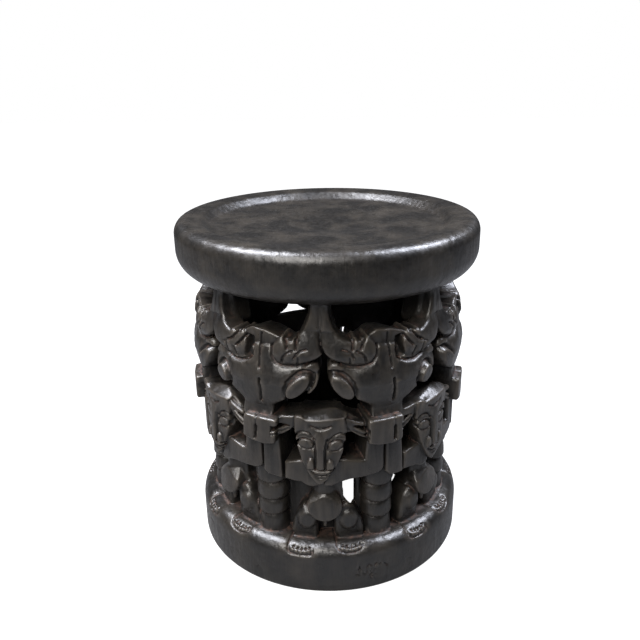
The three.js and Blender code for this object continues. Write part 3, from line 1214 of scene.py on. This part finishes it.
def sampleCells(field, places):
    # the field between its cells, places in millimetres
    start = np.array([-block["reach"], -block["reach"], block["low"]])
    spots = np.clip((places - start) / block["step"], 0, np.array(field.shape) - 1.001)
    cell = spots.astype(int)
    share = spots - cell
    value = np.zeros(len(places))
    for corner in range(8):
        step = np.array([corner & 1, corner >> 1 & 1, corner >> 2 & 1])
        weight = np.prod(np.where(step, share, 1 - share), axis=1)
        at = cell + step
        value += weight * field[at[:, 0], at[:, 1], at[:, 2]]
    return value


def markWearAndShade(piece):
    # how much of a cube round each point is wood: half on a flat, less at an edge that hands
    # polish, which is painted paler, partly wear and partly a painted highlight, more in a cut where
    # wax and dust gather, which is also painted darker as painted shade
    s = wearAndShadeSizes
    mesh = piece.data
    count = len(mesh.vertices)
    place = np.empty(count * 3, dtype=np.float32)
    facing = np.empty(count * 3, dtype=np.float32)
    mesh.vertices.foreach_get("co", place)
    mesh.vertices.foreach_get("normal", facing)
    place = place.reshape(-1, 3) * 1000
    filled = np.clip(0.5 - clay / block["step"], 0, 1)
    near, wide = [
        sampleCells(boxBlur(boxBlur(filled, first), second), place)
        for first, second in (s["near"], s["wide"])
    ]
    edgeAt, edgeOver = s["edge"]
    wideAt, wideOver, most = s["wideEdge"]
    cutAt, cutOver = s["cut"]
    cornerAt, cornerOver = s["corner"]
    upAt, upOver = s["upward"]
    # the wide floor of the dish gets no painted shade and no dust
    inDish = np.hypot(place[:, 0], place[:, 1]) < seatSizes["dish"] + 1
    inDish &= place[:, 2] > seatSizes["top"] - 20
    # edge paints the edges paler, partly wear and partly painted highlight; recess paints painted shade into
    # cuts and corners
    layers = {
        "edge": (edgeAt - near) / edgeOver + np.clip((wideAt - wide) / wideOver, 0, most),
        "recess": np.where(inDish, 0, (near - cutAt) / cutOver + (wide - cornerAt) / cornerOver),
        "upward": (facing.reshape(-1, 3)[:, 2] - upAt) / upOver,
    }
    for name, values in layers.items():
        layer = mesh.attributes.new(name, "FLOAT", "POINT")
        layer.data.foreach_set("value", np.clip(values, 0, 1).astype(np.float32))


markWearAndShade(stool)
stool.data.materials.append(darkWaxedWood())
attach(stool, "root")
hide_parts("stool")
print("wood stained and waxed")

# Camera, floor and light

view = {
    "place": (26.25, -783.57, 572.12),
    "target": (-9.31, -0.42, 271.04),
    "roll": -0.83,
    "lens": 38.63,
    "sensor": 36.0,
    "clipStart": 0.01,
}
studio = {
    "floor": "#6a6a6a",
    "floorRoughness": 0.9,
    "floorHalf": 6.0,  # metres
    "softboxes": {
        # watts, size in metres, place, colour
        "left": (74.0, 0.70, (-0.72, -0.10, 1.55), "#f6f7ff"),
        "right": (62.0, 0.70, (0.90, 0.15, 1.50), "#eef2ff"),
        "front": (30.0, 0.8, (-0.42, -1.10, 1.20), "#fffbf6"),
    },
    "aim": (0, 0, 0.25),  # where the softboxes point
    "air": 0.06,  # how bright the backdrop is to the stool
}


def makeCamera():
    data = bpy.data.cameras.new("camera")
    data.lens = view["lens"]
    data.sensor_width = view["sensor"]
    data.clip_start = view["clipStart"]
    camera = putInScene("camera", data)
    stand = Vector(view["place"]) / 1000
    aim = (Vector(view["target"]) / 1000 - stand).normalized()
    turn = aim.to_track_quat("-Z", "Y").to_matrix().to_4x4()
    roll = Matrix.Rotation(math.radians(view["roll"]), 4, "Z")
    camera.matrix_world = Matrix.Translation(stand) @ turn @ roll
    bpy.context.scene.camera = camera


def paleFloor():
    # a painted studio floor, matt all over: it looks white, but throws no more light on the
    # stool than a grey one
    material = bpy.data.materials.new("pale_floor")
    material.use_nodes = True
    tree = material.node_tree
    shader = tree.nodes["Principled BSDF"]
    shader.inputs["Base Color"].default_value = toLinear(studio["floor"])
    shader.inputs["Roughness"].default_value = studio["floorRoughness"]
    shader.inputs["Emission Color"].default_value = (1, 1, 1, 1)
    seen = addNode(tree, "ShaderNodeLightPath").outputs["Is Camera Ray"]
    tree.links.new(seen, shader.inputs["Emission Strength"])
    return material


def makeFloor():
    mesh = bpy.data.meshes.new("floor")
    s = studio["floorHalf"]
    mesh.from_pydata([(-s, -s, 0), (s, -s, 0), (s, s, 0), (-s, s, 0)], [], [(0, 1, 2, 3)])
    mesh.materials.append(paleFloor())
    putInScene("floor", mesh)


def makeSoftboxes():
    for name, (power, size, stand, tint) in studio["softboxes"].items():
        lamp = bpy.data.lights.new(name, "AREA")
        lamp.energy = power
        lamp.size = size
        lamp.color = toLinear(tint)[:3]
        holder = putInScene(name, lamp)
        holder.location = stand
        aim = Vector(studio["aim"]) - Vector(stand)
        holder.rotation_euler = aim.to_track_quat("-Z", "Y").to_euler()


def makeBackdrop():
    # it looks white, but its light on the stool is dimmer
    world = bpy.data.worlds.new("studio")
    world.use_nodes = True
    tree = world.node_tree
    sky = tree.nodes["Background"]
    sky.inputs["Color"].default_value = (1, 1, 1, 1)
    seen = addNode(tree, "ShaderNodeLightPath").outputs["Is Camera Ray"]
    level = addNode(tree, "ShaderNodeMapRange", inputs={
        "Value": seen, "To Min": studio["air"], "To Max": 1.0,
    })
    tree.links.new(level.outputs["Result"], sky.inputs["Strength"])
    bpy.context.scene.world = world
    bpy.context.scene.view_settings.view_transform = "Standard"


makeCamera()
makeFloor()
makeSoftboxes()
makeBackdrop()
print("camera, floor and light set")
